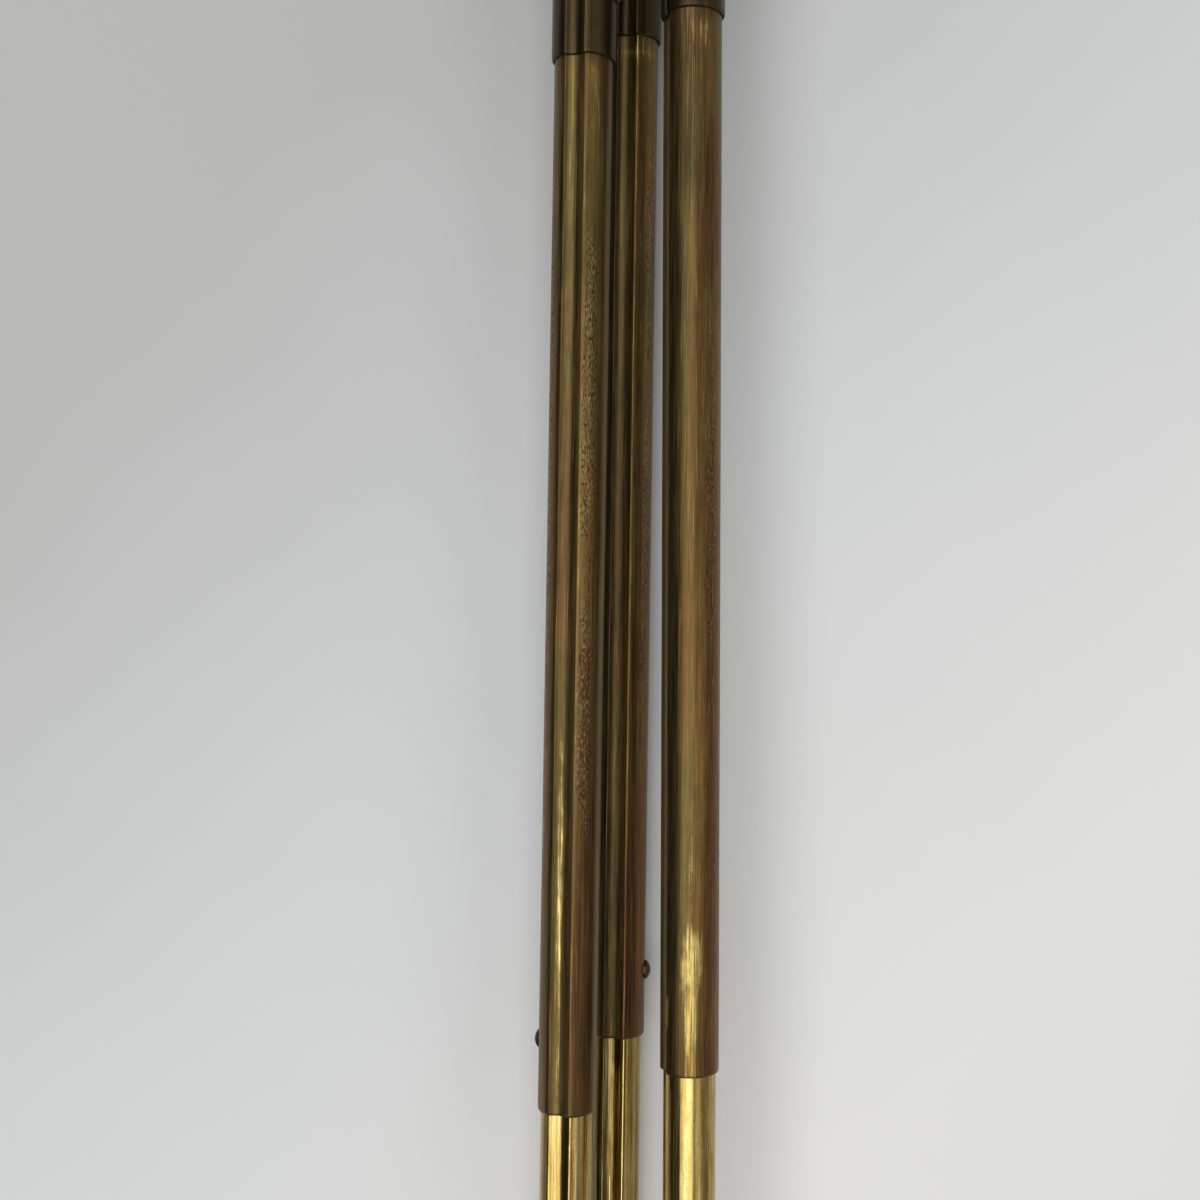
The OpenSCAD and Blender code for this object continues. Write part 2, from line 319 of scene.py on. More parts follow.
grain = {  # millimetres across and along, shift of the seed, detail and roughness of each layer of noise
    "broad": (3.2, 120, 0, 2.0, 0.5),
    "fine": (0.6, 26, 3, 5.0, 0.6),
    "hair": (0.22, 30, 7, 3.0, 0.6),  # drawing lines, coarser than the real ones so that they show
    "patch": (3.0, 9.0, 11, 6.0, 0.68),
    "speck": (0.36, 1.3, 17, 3.0, 0.6),
    "warmth": (5.0, 60, 23, 3.0, 0.5),
}


def agedBrass(name, spec):
    # drawn brass under old lacquer and patina: brown and olive bands run lengthwise where hands and the
    # next tube rub it, bright metal shows where it is rubbed through, and damp has left it pitted in
    # places;
    # dark lengthwise bands of painted shade and painted dark reflection are laid over it, with some olive
    # patina in the grooves
    material, tree, shader = newMaterial(name, Metallic=spec["metallic"])
    place = addNode(tree, "ShaderNodeTexCoord").outputs["Object"]
    layers = [streaks(tree, place, across, along, spec["seed"] + shift, detail, rough)
              for across, along, shift, detail, rough in grain.values()]
    broad, fine, hair, patch, speck, warmth = layers
    tone = reckon(tree, "MULTIPLY_ADD", broad, 0.34, reckon(tree, "MULTIPLY_ADD", fine, 0.26, 0.1))
    tone = reckon(tree, "MULTIPLY_ADD", patch, 0.2, tone)
    color = blend(tree, rescale(tree, warmth, 0.35, 0.8), ramp(tree, tone, spec["tones"]),
                  ramp(tree, tone, spec["browns"]))
    red = worn(tree, "redness", patch, 0.30, 0.75)
    red = reckon(tree, "MAXIMUM", red, reckon(tree, "MULTIPLY", rescale(tree, patch, 0.72, 0.95), 0.35))
    color = blend(tree, red, color, ramp(tree, fine, spec["reds"]))
    # painted shade and painted dark reflection, with some real olive patina in the grooves: the marked
    # lengthwise bands are darkened
    dark = reckon(tree, "MULTIPLY", mask(tree, "shadeAndPatina"), rescale(tree, tone, 0.8, 0.2, 0.75, 1.0))
    color = blend(tree, dark, color, ramp(tree, fine, spec["shadeAndPatinaColors"]))
    damp = worn(tree, "pitting", patch, 0.3, 0.7)
    pitted = reckon(tree, "MULTIPLY", damp, rescale(tree, speck, 0.62, 0.78))
    specked = reckon(tree, "MULTIPLY", rescale(tree, speck, 0.88, 0.94), spec["specks"])
    color = blend(tree, reckon(tree, "MAXIMUM", pitted, specked), color, spec["pit"])
    damp = worn(tree, "pitting", patch, 0.3, 0.8)
    bloom = reckon(tree, "MULTIPLY", damp, rescale(tree, speck, 0.34, 0.22))
    color = blend(tree, reckon(tree, "MULTIPLY", bloom, 0.4), color, spec["bloom"])
    scratch = reckon(tree, "MULTIPLY", rescale(tree, hair, 0.72, 0.86), spec["scratches"])
    color = blend(tree, scratch, color, spec["worn"])
    ragged = reckon(tree, "MULTIPLY_ADD", patch, 0.5, reckon(tree, "MULTIPLY", fine, 0.5))
    rubbed = worn(tree, "rubbed", ragged, 0.30, 0.85)
    color = blend(tree, rubbed, color, ramp(tree, fine, spec["bare"]))
    tree.links.new(color, shader.inputs["Base Color"])
    gloss = rescale(tree, fine, 0.0, 1.0, spec["rough"] - 0.07, spec["rough"] + 0.07)
    gloss = reckon(tree, "MULTIPLY_ADD", pitted, 0.15, gloss)
    polish = reckon(tree, "MULTIPLY", rubbed, spec["rough"] - spec["bareRough"])
    gloss = reckon(tree, "SUBTRACT", gloss, polish)
    tree.links.new(gloss, shader.inputs["Roughness"])
    hollows = reckon(tree, "MULTIPLY", pitted, 0.8)
    relief = reckon(tree, "SUBTRACT", reckon(tree, "MULTIPLY", hair, 0.2), hollows)
    bump = addNode(tree, "ShaderNodeBump", {"Height": relief, "Strength": 0.6, "Distance": 0.03 * mm})
    tree.links.new(bump.outputs[0], shader.inputs["Normal"])
    return material


brownBlack = {
    "seed": 1.3, "metallic": 0.85, "rough": 0.35, "bareRough": 0.26, "scratches": 0.14, "specks": 0.5,
    "tones": [(0.1, "#2a2011"), (0.4, "#3a2f1a"), (0.6, "#473b20"), (0.9, "#5a4d2b")],
    "browns": [(0.1, "#2c2012"), (0.4, "#3e2e1b"), (0.6, "#4a3821"), (0.9, "#5d472a")],
    "reds": [(0.2, "#342114"), (0.8, "#503620")],
    "shadeAndPatinaColors": [(0.2, "#171109"), (0.8, "#2b2213")],
    "pit": "#171008", "bloom": "#7b6f55", "worn": "#93794a",
    "bare": [(0.2, "#a8884a"), (0.8, "#e0c07a")],
}
oliveBronze = {
    "seed": 7.9, "metallic": 0.82, "rough": 0.40, "bareRough": 0.27, "scratches": 0.30, "specks": 0.6,
    "tones": [(0.1, "#423317"), (0.4, "#5f4e27"), (0.6, "#735f31"), (0.9, "#917b45")],
    "browns": [(0.1, "#473016"), (0.4, "#694a26"), (0.6, "#7c5a30"), (0.9, "#98753f")],
    "reds": [(0.2, "#543920"), (0.8, "#6f4c2b")],
    "shadeAndPatinaColors": [(0.2, "#251e0f"), (0.8, "#443a1e")],
    "pit": "#3a2815", "bloom": "#b3a684", "worn": "#b39a60",
    "bare": [(0.1, "#8f7433"), (0.5, "#bfa257"), (0.9, "#e9d594")],
}
yellowBrass = {
    "seed": 15.2, "metallic": 1.0, "rough": 0.16, "bareRough": 0.10, "scratches": 0.45, "specks": 0.8,
    "tones": [(0.1, "#745c28"), (0.35, "#9a8040"), (0.55, "#b99f59"), (0.85, "#e3d29a")],
    "browns": [(0.1, "#6e5625"), (0.35, "#957a3d"), (0.55, "#b49854"), (0.85, "#dfcd92")],
    "reds": [(0.2, "#7d5426"), (0.8, "#b0803f")],
    "shadeAndPatinaColors": [(0.2, "#2c210c"), (0.8, "#56421b")],
    "pit": "#57401c", "bloom": "#d9c69a", "worn": "#f3e8bf",
    "bare": [(0.2, "#e8d69c"), (0.8, "#f8f0d0")],
}


def drawnSteel():
    # bright drawn steel: grey, with lengthwise drawing lines and a little brown in the hollows
    material, tree, shader = newMaterial("Bright drawn steel", Metallic=1.0)
    place = addNode(tree, "ShaderNodeTexCoord").outputs["Object"]
    line = streaks(tree, place, 0.2, 6, 2.1)
    stain = streaks(tree, place, 2.5, 3.5, 5.3)
    grey = ramp(tree, line, [(0.35, "#8d8e90"), (0.65, "#b9babb")])
    color = blend(tree, rescale(tree, stain, 0.55, 0.72, 0, 0.6), grey, "#6f5c48")
    tree.links.new(color, shader.inputs["Base Color"])
    tree.links.new(rescale(tree, line, 0.3, 0.7, 0.24, 0.4), shader.inputs["Roughness"])
    return material


def tannedLeather():
    # vegetable-tanned hide: brown, darker in its grain, dull with a slight polish on the high spots
    material, tree, shader = newMaterial("Vegetable-tanned leather")
    place = addNode(tree, "ShaderNodeTexCoord").outputs["Object"]
    cells = addNode(tree, "ShaderNodeTexVoronoi", {"Vector": place, "Scale": 1 / (0.7 * mm)},
                    feature="DISTANCE_TO_EDGE").outputs["Distance"]
    grain = rescale(tree, cells, 0.0, 0.18)
    cloud = addNode(tree, "ShaderNodeTexNoise", {"Vector": place, "Scale": 90.0, "Detail": 5.0}).outputs[0]
    hide = ramp(tree, cloud, [(0.35, "#43220f"), (0.55, "#63391b"), (0.72, "#7d4f29")])
    tree.links.new(blend(tree, grain, "#27140a", hide), shader.inputs["Base Color"])
    tree.links.new(rescale(tree, grain, 0, 1, 0.75, 0.5), shader.inputs["Roughness"])
    bump = addNode(tree, "ShaderNodeBump", {"Height": grain, "Strength": 0.6, "Distance": 0.12 * mm})
    tree.links.new(bump.outputs[0], shader.inputs["Normal"])
    return material


finishes = {
    "dark_patina_brass": agedBrass("Brown-black patinated brass", brownBlack),
    "bronze_brass": agedBrass("Olive-brown patinated brass", oliveBronze),
    "polished_brass": agedBrass("Polished yellow brass", yellowBrass),
    "steel": drawnSteel(),
    "leather": tannedLeather(),
}
print("finishes made")


tube = {
    "radius": 9.875, "wall": 0.5, "gap": 0.35,
    "grooveCentre": 11.67, "grooveRadius": 3.21, "edge": 0.8,
    "lipHeight": 1.2, "lipRoll": (0.85, 0.58), "lipWall": 0.7, "brokenEdge": 0.08,
    "grooveSteps": 8, "edgeSteps": 4, "backSteps": 84, "ringEvery": 6.0,
    "waves": 0.06, "waveLength": 26.0,
    "hole": 2.9, "lockHeight": 19.0, "catchDepth": 18.0, "catchTurn": 95.0,
}
rollHeight, rollDepth = tube["lipRoll"]  # the end of a tube curls in like a quarter of an ellipse
lipCurve = [(rollHeight * (1 - math.cos(angle)), rollDepth * (1 - math.sin(angle)))
            for angle in (math.radians(degrees) for degrees in (0, 25, 45, 65, 90))]
lipCurve += [(tube["lipHeight"], 0.0), (tube["lipHeight"] * 1.1, 0.0)]
innermost = 4  # the section that ends in the foot instead of a rolled lip
tubeFinish = {1: "dark_patina_brass", 2: "dark_patina_brass", 3: "bronze_brass", 4: "polished_brass"}
hands = {"left": -1, "middle": 1, "right": -1}  # which side of its groove a leg's lowest catch is on
# signs of use on a tube, with bands of painted shade and painted dark reflection (some of it olive patina
# in the groove) and rings of painted shade just under the next tube's lip: height above its lower end and
# half its own height in millimetres, degrees round from the groove and half its width in degrees, strength
useAndShadeMarks = {
    "left": {
        2: {"shadeAndPatina": [(10, 400, -26, 6, 0.8), (10, 400, 7, 8, 0.7), (10, 400, 66, 7, 0.5)],
            "rubbed": [(8, 10, -6, 5, 0.25)]},
        3: {"shadeAndPatina": [(150, 400, -24, 8, 0.95), (150, 400, 6, 9, 0.95), (150, 400, 68, 5, 0.6),
                         (205, 100, -10, 10, 0.6), (150, 400, 20, 4, 0.3), (293, 3, 0, 360, 0.7),
                         (20, 60, 46, 26, 0.35)],
            "redness": [(50, 140, 46, 24, 0.62), (0, 60, 46, 30, 0.8), (0, 70, -50, 18, 0.5)],
            "rubbed": [(56, 62, -7, 8, 0.44), (150, 400, 23.5, 2.2, 0.30), (280, 14, 44, 20, 0.36),
                       (120, 120, -52, 8, 0.3)],
            "pitting": [(200, 50, 40, 18, 0.9), (185, 80, -50, 10, 0.9), (115, 45, 40, 16, 0.75)]},
        4: {"shadeAndPatina": [(150, 400, -35, 6, 0.7), (150, 400, 15, 9, 0.85), (150, 400, 44, 5, 0.4),
                         (150, 400, 74, 10, 0.4)],
            "redness": [(255, 40, 30, 8, 0.6)]},
    },
    "middle": {
        2: {"shadeAndPatina": [(10, 400, -12, 7, 0.8), (10, 400, 18, 5, 0.6), (10, 400, 70, 20, 0.6)]},
        3: {"shadeAndPatina": [(150, 400, -24, 15, 0.95), (150, 400, 2, 14, 0.85), (220, 120, 15, 7, 0.85),
                         (150, 400, 38, 7, 0.5), (293, 3, 0, 360, 0.7)],
            "redness": [(60, 170, 52, 30, 0.62), (0, 80, 50, 40, 0.95)],
            "rubbed": [(289, 4, 26, 60, 0.44), (150, 400, 24, 2.4, 0.36)],
            "pitting": [(190, 110, 64, 20, 0.6)]},
        4: {"shadeAndPatina": [(150, 400, -32, 44, 1.0), (150, 400, 12, 8, 0.8), (150, 400, 70, 24, 0.45)],
            "rubbed": [(150, 400, 31, 5, 0.6)]},
    },
    "right": {
        2: {"shadeAndPatina": [(10, 400, 30, 34, 0.7)], "redness": [(10, 40, 70, 40, 0.3)]},
        3: {"shadeAndPatina": [(150, 400, 32, 24, 0.95), (150, 400, 60, 14, 0.4), (235, 100, 76, 30, 0.40),
                         (268, 34, 68, 18, 0.92), (293, 3, 0, 360, 0.7)],
            "redness": [(70, 110, 128, 32, 0.80), (240, 26, 126, 43, 0.95), (214, 40, 142, 26, 0.5),
                        (0, 14, 76, 90, 0.6)],
            "rubbed": [(32, 10, 77, 28, 0.62), (14, 18, 75, 14, 0.68), (62, 42, 74, 6, 0.34),
                       (286, 7, 82, 34, 0.40), (17, 5, 24, 5, 0.9)],
            "pitting": [(150, 60, 118, 16, 0.6), (60, 60, 128, 30, 0.35)]},
        4: {"shadeAndPatina": [(150, 400, 22, 14, 0.8), (150, 400, 54, 6, 0.4), (150, 400, 112, 5, 0.5),
                         (150, 400, 146, 18, 0.3)]},
    },
}
useAndShadeNames = ("shadeAndPatina", "redness", "rubbed", "pitting")


def axesAt(origin, upwards, sideways):
    # a frame whose Z runs along one direction and whose X is as near as it can be to another
    up = Vector(upwards).normalized()
    side = (Vector(sideways) - up * up.dot(Vector(sideways))).normalized()
    return Matrix.Translation(Vector(origin)) @ Matrix((side, up.cross(side), up)).transposed().to_4x4()


def catchSide(leg, section):
    # degrees round from the groove to a section's catch: the third one is across the groove from the others
    turn = hands[leg] * tube["catchTurn"]
    return -turn if section == 3 else turn


def legFrame(leg):
    # the leg's own axes at its hinge: X out through the groove, Z to the head
    swivel, press = joints[f"{leg}_leg_swivel"], joints[f"{leg}_leg_press_{innermost}"]
    turn = Matrix.Rotation(math.radians(-catchSide(leg, innermost)), 3, Vector(swivel["axis"]))
    return axesAt(swivel["pos_m"], swivel["axis"], turn @ Vector(press["axis"]))


def extent(node, place):
    # least and greatest X, Y and Z of a part in a frame of its own
    back = place.inverted()
    points = [back @ vertex.co for vertex in cadNodes[node].data.vertices]
    return [(min(point[i] for point in points), max(point[i] for point in points)) for i in range(3)]


def reach(node, place):
    # lowest and highest point of a part along its leg
    return extent(node, place)[2]


def radiusOf(section):
    return tube["radius"] - (section - 1) * (tube["wall"] + tube["gap"])


def spinBy(steps, degrees, centre):
    # carries the end of the outline round a centre, anticlockwise
    bpy.ops.mesh.spin(steps=steps, angle=-math.radians(degrees), center=(*centre, 0), axis=(0, 0, 1))


def drawOutline(section):
    # one point is taken round the groove, its two rounded edges and the back of the tube
    radius, edge = radiusOf(section) * mm, tube["edge"] * mm
    centre = tube["grooveCentre"] * mm
    groove = (tube["grooveRadius"] + tube["radius"] - radiusOf(section)) * mm
    inner = radius - edge
    turn = math.degrees(math.acos((inner ** 2 + centre ** 2 - (groove + edge) ** 2) / (2 * inner * centre)))
    corner = (inner * math.cos(math.radians(turn)), inner * math.sin(math.radians(turn)))
    half = math.degrees(math.atan2(corner[1], centre - corner[0]))
    piece = startPoint(centre - groove)
    spinBy(tube["grooveSteps"], -half, (centre, 0))
    spinBy(tube["edgeSteps"], turn + half, corner)
    spinBy(tube["backSteps"], 360 - 2 * turn, (0, 0))
    spinBy(tube["edgeSteps"], turn + half, (corner[0], -corner[1]))
    spinBy(tube["grooveSteps"], -half, (centre, 0))
    bpy.ops.mesh.select_all(action="SELECT")
    bpy.ops.mesh.remove_doubles(threshold=weld)
    bpy.ops.mesh.select_all(action="SELECT")
    return piece


def growBy(factor, level=0.0):
    bpy.ops.transform.resize(value=(factor, factor, 1), center_override=(0, 0, level))


def extrudeUp(rise):
    bpy.ops.mesh.extrude_region_move(TRANSFORM_OT_translate={"value": (0, 0, rise)})


def drawTube(section, length):
    # the bare tube of one section, its lower end at the origin
    piece = drawOutline(section)
    curve = lipCurve if section < innermost else [(0.0, 0.0)]
    levels = [level * mm for level, inset in curve]
    insets = [inset for level, inset in curve]
    straight = length - levels[-1]
    count = round(straight / (tube["ringEvery"] * mm))
    levels += [levels[-1] + straight * i / count for i in range(1, count + 1)]
    insets += [0.0] * count
    radius = radiusOf(section)
    growBy(1 - insets[0] / radius)
    for i in range(1, len(levels)):
        extrudeUp(levels[i] - levels[i - 1])
        if insets[i] != insets[i - 1]:
            growBy((radius - insets[i]) / (radius - insets[i - 1]))
    closeEditing()
    faces = piece.data.polygons
    if sum(face.normal.x * face.center.x + face.normal.y * face.center.y for face in faces) < 0:
        piece.data.flip_normals()
    return piece


def thicken(piece, section):
    # the wall goes inwards, thicker where the lip is rolled in
    group = piece.vertex_groups.new(name="wall")
    for vertex in piece.data.vertices:
        wall = tube["wall"]
        for level, inset in lipCurve[:-1]:
            if section < innermost and abs(vertex.co.z - level * mm) < 10 * weld:
                wall = tube["lipWall"] - inset
        group.add([vertex.index], wall / tube["lipWall"], "REPLACE")
    applyModifier(piece, "SOLIDIFY", thickness=tube["lipWall"] * mm, offset=-1, use_even_offset=True,
                  vertex_group="wall", thickness_vertex_group=0.0)
    piece.vertex_groups.clear()
    makeActive(piece)
    bpy.ops.object.mode_set(mode="EDIT")
    bpy.ops.mesh.select_mode(type="EDGE")
    bpy.ops.mesh.select_all(action="DESELECT")
    bpy.ops.mesh.edges_select_sharp(sharpness=math.radians(60))
    bpy.ops.mesh.bevel(offset=tube["brokenEdge"] * mm, segments=2, affect="EDGES", clamp_overlap=True)
    bpy.ops.mesh.select_mode(type="VERT")
    bpy.ops.object.mode_set(mode="OBJECT")


def makeWavy(piece, seed):
    # a long-used drawn tube is never quite straight-sided; each takes its own stretch of the waves
    texture = bpy.data.textures.new(piece.name + "Waves", "CLOUDS")
    texture.noise_scale = tube["waveLength"] * mm
    texture.noise_depth = 1
    anchor = bpy.data.objects.new("anchor", None)
    bpy.context.scene.collection.objects.link(anchor)
    anchor.location = (seed * 0.37, seed * 0.11, seed * 0.23)
    applyModifier(piece, "DISPLACE", texture=texture, strength=tube["waves"] * mm, mid_level=0.5,
                  texture_coords="OBJECT", texture_coords_object=anchor)
    bpy.data.objects.remove(anchor)


def drill(piece, height, degrees):
    # a button hole through the wall on one side
    deselect()
    long = 2 * tube["radius"] * mm
    bpy.ops.mesh.primitive_cylinder_add(vertices=40, radius=tube["hole"] * mm, depth=long)
    cutter = bpy.context.object
    turn = Matrix.Rotation(math.radians(degrees), 4, "Z") @ Matrix.Rotation(math.radians(90), 4, "Y")
    outwards = Matrix.Translation((0, 0, tube["radius"] * mm))
    cutter.data.transform(Matrix.Translation((0, 0, height)) @ turn @ outwards)
    combine(piece, cutter, "DIFFERENCE")


def falloff(distance, half):
    return math.exp(-((distance / half) ** 4))


def markUseAndShade(piece, marks):
    # strength of each sign of use and of the painted shade at every point, for the finish
    for name in useAndShadeNames:
        layer = piece.data.attributes.new(name, "FLOAT", "POINT")
        patches = marks.get(name, [])
        for vertex in piece.data.vertices:
            height = vertex.co.z / mm
            around = math.degrees(math.atan2(vertex.co.y, vertex.co.x))
            layer.data[vertex.index].value = max(
                (strength * falloff(height - level, tall) * falloff((around - turn + 180) % 360 - 180, wide)
                 for level, tall, turn, wide, strength in patches), default=0.0)


def makeTubes():
    places = {leg: legFrame(leg) for leg in legNames}
    for section in range(1, innermost + 1):
        low, high = reach(f"left_leg_tube_{section}", places["left"])
        pattern = drawTube(section, high - low)
        for leg in legNames:
            node = f"{leg}_leg_tube_{section}"
            low, high = reach(node, places[leg])
            piece = duplicate(f"{leg}LegTube{section}", pattern.data)
            makeWavy(piece, legNames.index(leg) * 5 + section)
            thicken(piece, section)
            if section < innermost:
                drill(piece, tube["lockHeight"] * mm, catchSide(leg, section + 1))
            if section > 1:
                drill(piece, high - low - tube["catchDepth"] * mm, catchSide(leg, section))
            markUseAndShade(piece, useAndShadeMarks[leg].get(section, {}))
            smooth(piece, 38)
            piece.data.transform(places[leg] @ Matrix.Translation((0, 0, low)))
            fit(piece, tubeFinish[section], f"{leg}_leg_section_{section}", node)
        bpy.data.objects.remove(pattern)
        print("section", section, "drawn for all three legs")


makeTubes()


def softened(node, width, degrees=35):
    # a copy of a machined part with its sharp edges broken, as a file leaves them
    name = "".join(word.capitalize() for word in node.split("_"))
    piece = duplicate(name, cadNodes[node].data)
    editAll(piece)
    bpy.ops.mesh.remove_doubles(threshold=weld)
    bpy.ops.mesh.dissolve_limited(angle_limit=math.radians(0.5))
    bpy.ops.object.mode_set(mode="OBJECT")
    applyModifier(piece, "BEVEL", width=width * mm, segments=2, limit_method="ANGLE",
                  angle_limit=math.radians(degrees), use_clamp_overlap=True)
    smooth(piece, degrees)
    return piece


def turned(name, profile, sides=64):
    # turned on a lathe from its lower end, solid: the profile's points are (height, radius) in millimetres
    deselect()
    height, radius = profile[0]
    bpy.ops.mesh.primitive_circle_add(vertices=sides, radius=radius * mm, fill_type="NGON",
                                      location=(0, 0, height * mm))
    piece = bpy.context.object
    piece.name = name
    bpy.ops.object.transform_apply(location=True)
    editAll(piece)
    bpy.ops.mesh.select_mode(type="FACE")
    for nextHeight, nextRadius in profile[1:]:
        extrudeUp((nextHeight - height) * mm)
        growBy(nextRadius / radius, nextHeight * mm)
        height, radius = nextHeight, nextRadius
    bpy.ops.mesh.select_mode(type="VERT")
    closeEditing()
    return piece


def copyAs(name, source, place):
    piece = duplicate(name, source.data)
    piece.data.transform(place)
    return piece


def join(pieces):
    deselect()
    for piece in pieces:
        piece.select_set(True)
    bpy.context.view_layer.objects.active = pieces[0]
    bpy.ops.object.join()
    return pieces[0]


def cutSlot(piece, slot, level):
    # a driver's slot across the end at this level
    deselect()
    bpy.ops.mesh.primitive_cube_add(size=mm)
    cutter = bpy.context.object
    size = Matrix.Diagonal((slot["length"], slot["width"], 2 * slot["depth"], 1))
    cutter.data.transform(Matrix.Translation((0, 0, level * mm)) @ size)
    combine(piece, cutter, "DIFFERENCE")


foot = {
    "radius": 7.3, "height": 7.0, "taper": 9.0, "tip": 3.6, "edge": 0.5,
    "beads": 3, "beadPitch": 1.5, "beadDepth": 0.35,
}
spike = {"length": 12.0, "tip": 0.5, "wide": 2.4, "set": 3.0}


def footProfile():
    # a taper, then a band of turned beads below a plain collar; the plug in the tube is hidden
    tip, wide, edge, depth = foot["tip"], foot["radius"], foot["edge"], foot["beadDepth"]
    base, pitch = -foot["height"] - foot["taper"], foot["beadPitch"]
    points = [(base, tip - edge), (base + 0.15, tip - 0.5 * edge), (base + 0.45, tip)]
    points += [(-foot["height"] - 0.4, wide - 0.12), (-foot["height"] + 0.3, wide)]
    for bead in range(foot["beads"]):
        start = -foot["height"] + 0.8 + bead * pitch
        points += [(start + pitch * step / 8, wide - depth * (1 - math.sin(math.pi * step / 8)))
                   for step in range(9)]
    points += [(points[-1][0] + 0.1, wide), (-0.4, wide), (-0.1, wide - 0.3), (-0.02, wide - 0.6)]
    return points


def spikeProfile():
    # a blunted point on a slightly swelling cone, set into the foot
    length, tip, wide = spike["length"], spike["tip"], spike["wide"]
    points = [(-length, tip - 0.2), (-length + 0.15, tip)]
    points += [(-length + 1 + step, tip + 0.4 + (wide - tip - 0.4) * (step / 11) ** 0.85)
               for step in range(0, 12, 2)]
    return points + [(0, wide), (spike["set"], wide)]


def makeFeet():
    shoe, point = turned("footShoe", footProfile()), turned("footSpike", spikeProfile(), 40)
    for leg in legNames:
        place = legFrame(leg)
        mouth = reach(f"{leg}_leg_foot", place)[0]
        end = mouth + (foot["height"] + foot["taper"]) * mm
        parts = ((shoe, "foot", "polished_brass", end), (point, "point", "steel", mouth))
        for source, node, finish, level in parts:
            seat = place @ Matrix.Translation((0, 0, level))
            piece = copyAs(f"{leg}Leg{node.capitalize()}", source, seat)
            smooth(piece, 40)
            fit(piece, finish, f"{leg}_leg_section_{innermost}", f"{leg}_leg_{node}")
    for source in (shoe, point):
        bpy.data.objects.remove(source)


button = {"radius": 2.75, "dome": 1.3, "flange": 3.6, "flangeThick": 0.6, "edge": 0.1}


def makeButtons():
    # a flange under the tube's wall, a short stem and a low dome rubbed smooth by thumbs
    radius, rise, edge = button["radius"], button["dome"], button["edge"]
    domeRadius = (radius ** 2 + rise ** 2) / (2 * rise)
    for leg in legNames:
        for section in range(2, innermost + 1):
            node = f"{leg}_leg_button_{section}"
            swivel = joints[f"{leg}_leg_swivel"]
            place = axesAt(swivel["pos_m"], joints[f"{leg}_leg_press_{section}"]["axis"], swivel["axis"])
            across, up, along = extent(node, place)
            tall = (along[1] - along[0]) / mm
            profile = [(0, button["flange"] - edge), (edge, button["flange"])]
            profile += [(button["flangeThick"] - edge, button["flange"]), (button["flangeThick"], radius)]
            profile += [(tall - low, math.sqrt(domeRadius ** 2 - (domeRadius - low) ** 2))
                        for low in (rise, 1.0, 0.7, 0.45, 0.25, 0.1, 0.03)]
            piece = turned(f"{leg}LegButton{section}", profile, 48)
            middle = Matrix.Translation((sum(across) / 2, sum(up) / 2, along[0]))
            piece.data.transform(place @ middle)
            smooth(piece, 40)
            fit(piece, "dark_patina_brass", f"{leg}_leg_catch_{section}", node)


spring = {"edge": 0.06, "root": 12.0, "end": 4.2}  # heights above its button of the leaf's root and its lower end


def makeSprings():
    # a leaf riveted to its tube, copied with its edges broken; it stays where the frame puts it and does
    # not bend with the button
    for leg in legNames:
        for section in range(2, innermost + 1):
            node = f"{leg}_leg_spring_{section}"
            piece = softened(node, spring["edge"])
            paint(piece, finishes["steel"])
            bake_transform(piece)
            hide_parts(node)


screw = {  # millimetres, its levels along the head's axis from the pad's face
    "stud": 3.175, "root": 2.5, "pitch": 1.27, "top": 6.0, "chamfer": 0.6, "shoulder": 5.5, "plate": -6.5,
    "headRadius": 7.0, "headTop": -9.5, "headBottom": -12.5, "knurls": 48, "knurlDepth": 0.22,
    "slot": {"length": 20.0, "width": 1.6, "depth": 1.1},
}
screwAxis = Matrix.Rotation(math.radians(-90), 4, "X")


def drawThread():
    # one turn of a quarter-inch camera thread is wound up the stud, cut square and given a chamfered end
    pitch, depth = screw["pitch"], screw["stud"] - screw["root"]
    piece = startPoint(screw["root"] * mm, -2 * pitch * mm)
    for out, rise in ((0, 0.12), (1, 0.34), (0, 0.08), (-1, 0.34), (0, 0.12)):
        bpy.ops.mesh.extrude_region_move(
            TRANSFORM_OT_translate={"value": (out * depth * mm, 0, rise * pitch * mm)})
    applyModifier(piece, "SCREW", axis="Z", screw_offset=pitch * mm, iterations=9, steps=48,
                  render_steps=48)
    editAll(piece)
    bpy.ops.mesh.remove_doubles(threshold=2 * weld)
    for level, direction in ((-0.8, -1), (7.0, 1)):
        bpy.ops.mesh.select_all(action="SELECT")
        bpy.ops.mesh.bisect(plane_co=(0, 0, level * mm), plane_no=(0, 0, direction), use_fill=True,
                            clear_outer=True)
    closeEditing()
    wide, top = screw["stud"] + 0.05, screw["top"]
    blank = turned("blank", [(-0.5, wide), (top - screw["chamfer"], wide), (top, wide - screw["chamfer"])])
    combine(piece, blank, "INTERSECT")
    return piece


def knurl(piece, low, high):
    # every other point round the rim is pressed in
    makeActive(piece)
    for vertex in piece.data.vertices:
        step = round(math.atan2(vertex.co.y, vertex.co.x) / math.pi * screw["knurls"])
        vertex.select = step % 2 == 1 and low * mm < vertex.co.z < high * mm
    bpy.ops.object.mode_set(mode="EDIT")
    growBy(1 - screw["knurlDepth"] / screw["headRadius"])
    bpy.ops.object.mode_set(mode="OBJECT")


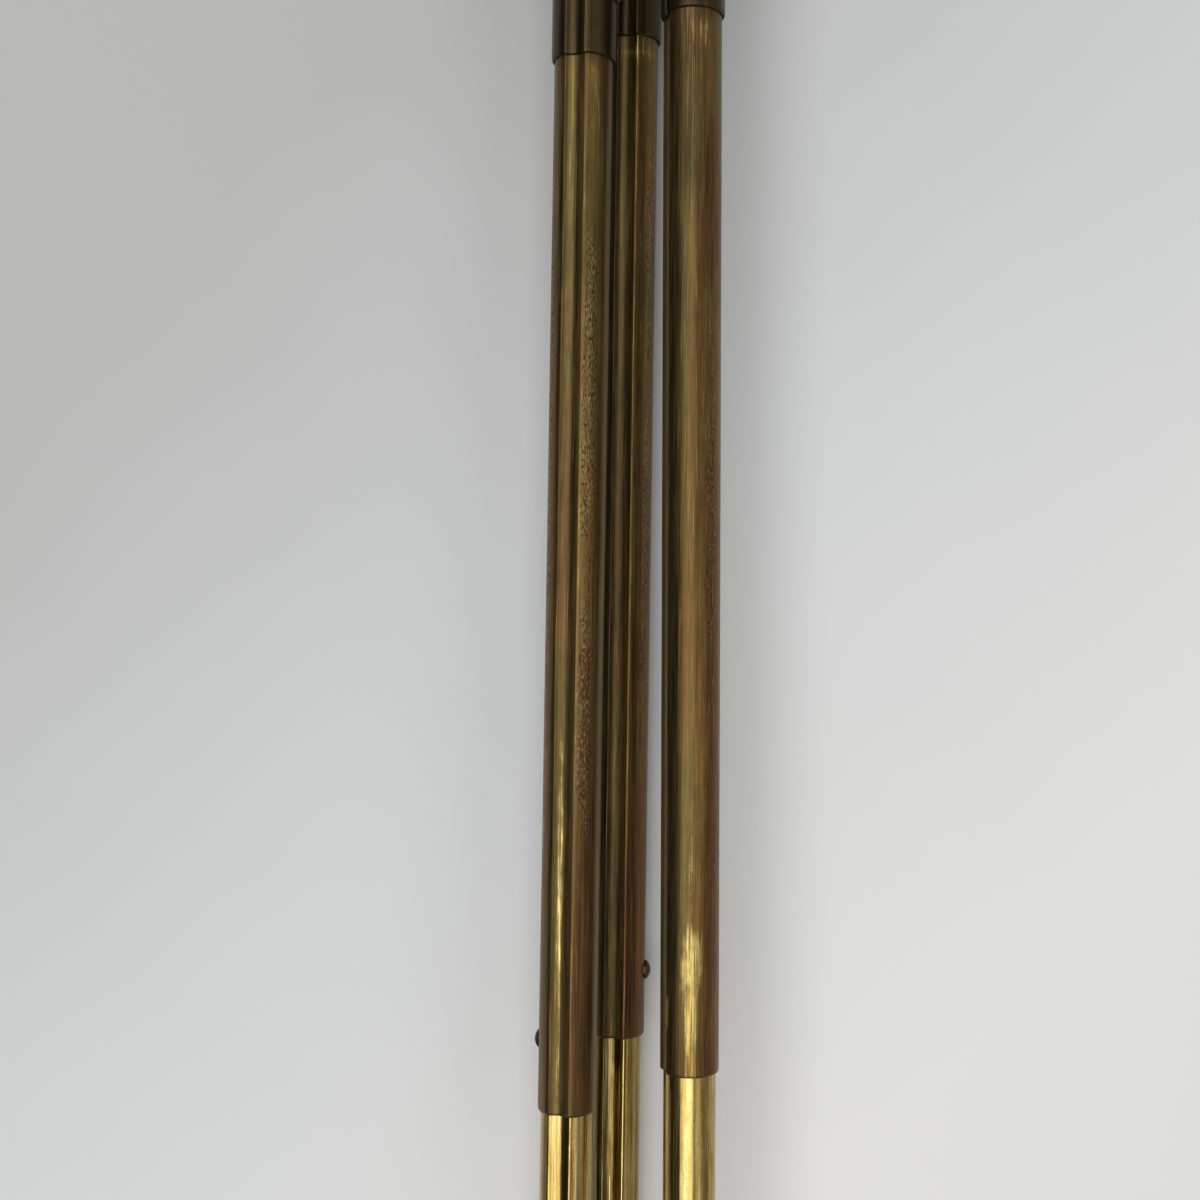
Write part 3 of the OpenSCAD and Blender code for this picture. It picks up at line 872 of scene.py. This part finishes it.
def makeCameraScrew():
    rim, low, high = screw["headRadius"], screw["headBottom"], screw["headTop"]
    stem, shoulder = screw["stud"] - 0.05, screw["shoulder"]
    body = turned("cameraScrew", [
        (low, rim - 0.5), (low + 0.15, rim - 0.2), (low + 0.4, rim),
        (high - 0.3, rim), (high - 0.1, rim - 0.2), (high, rim - 0.5),
        (high + ledge, stem), (screw["plate"], stem), (screw["plate"] + ledge, shoulder),
        (-0.3, shoulder), (-0.08, shoulder - 0.2), (0, shoulder - 0.5)], 2 * screw["knurls"])
    knurl(body, low + 0.3, high - 0.2)
    cutSlot(body, screw["slot"], low)
    piece = join([body, drawThread()])
    piece.data.transform(screwAxis)
    smooth(piece, 32)
    fit(piece, "polished_brass", "head", "camera_screw")


pad = {"radius": 24.0, "thick": 1.5, "hole": 5.58}


def makePad():
    # a leather disc pressed slightly hollow round the screw and along a line near its rim; its hole keeps a
    # thin floor, out of sight under the screw
    wide, base, hole = pad["radius"], -pad["thick"], pad["hole"]
    piece = turned("seatPad", [
        (base, wide - 0.15), (base + 0.2, wide), (-0.6, wide - 0.05), (-0.25, wide - 0.4),
        (-0.08, wide - 1.2), (-0.05, wide - 2.1), (-0.2, wide - 2.4), (-0.05, wide - 2.7), (0, wide - 5),
        (0, hole + 7), (-0.06, hole + 2), (-0.2, hole + 0.6), (-0.5, hole + 0.1), (-1.1, hole)], 96)
    piece.data.transform(screwAxis)
    smooth(piece, 40)
    fit(piece, "leather", "head", "seat_pad")


headScrew = {
    "ring": 18.0, "shank": 1.5, "head": 2.8, "under": -9.5, "low": -10.9, "top": -2.5,
    "slot": {"length": 8.0, "width": 0.7, "depth": 0.7}, "turns": {0: 35, 120: 80, 240: -20},
}


def makeHeadScrews():
    # three slotted screws with low round heads, each stopped at its own angle
    low, wide, under, shank = (headScrew[key] for key in ("low", "head", "under", "shank"))
    pattern = turned("headScrew", [
        (low, 1.7), (low + 0.12, 2.2), (low + 0.35, 2.6), (low + 0.7, wide), (under, wide),
        (under + ledge, shank), (headScrew["top"], shank)], 40)
    cutSlot(pattern, headScrew["slot"], low)
    pieces = []
    for around, turn in headScrew["turns"].items():
        outwards = Matrix.Translation((0, 0, headScrew["ring"] * mm))
        ring = Matrix.Rotation(math.radians(around), 4, "Y") @ outwards
        own = Matrix.Rotation(math.radians(turn), 4, "Z")
        pieces.append(copyAs("headScrews", pattern, ring @ screwAxis @ own))
    bpy.data.objects.remove(pattern)
    piece = join(pieces)
    smooth(piece, 40)
    fit(piece, "steel", "head", "head_screws")


machined = {  # width in millimetres of its broken edges, and its finish
    "head_plate": (0.5, "dark_patina_brass"),
    "head_spider": (0.35, "bronze_brass"),
    "hinge_pins": (0.2, "steel"),
}
for leg in legNames:
    machined[f"{leg}_leg_knuckle"] = (0.3, "bronze_brass")
    machined[f"{leg}_leg_top_plug"] = (0.3, "dark_patina_brass")
for node, (width, finish) in machined.items():
    fit(softened(node, width), finish, cadNodes[node]["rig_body"], node)
makeFeet()
makeButtons()
makeSprings()
makeCameraScrew()
makePad()
makeHeadScrews()
print("head and fittings finished")
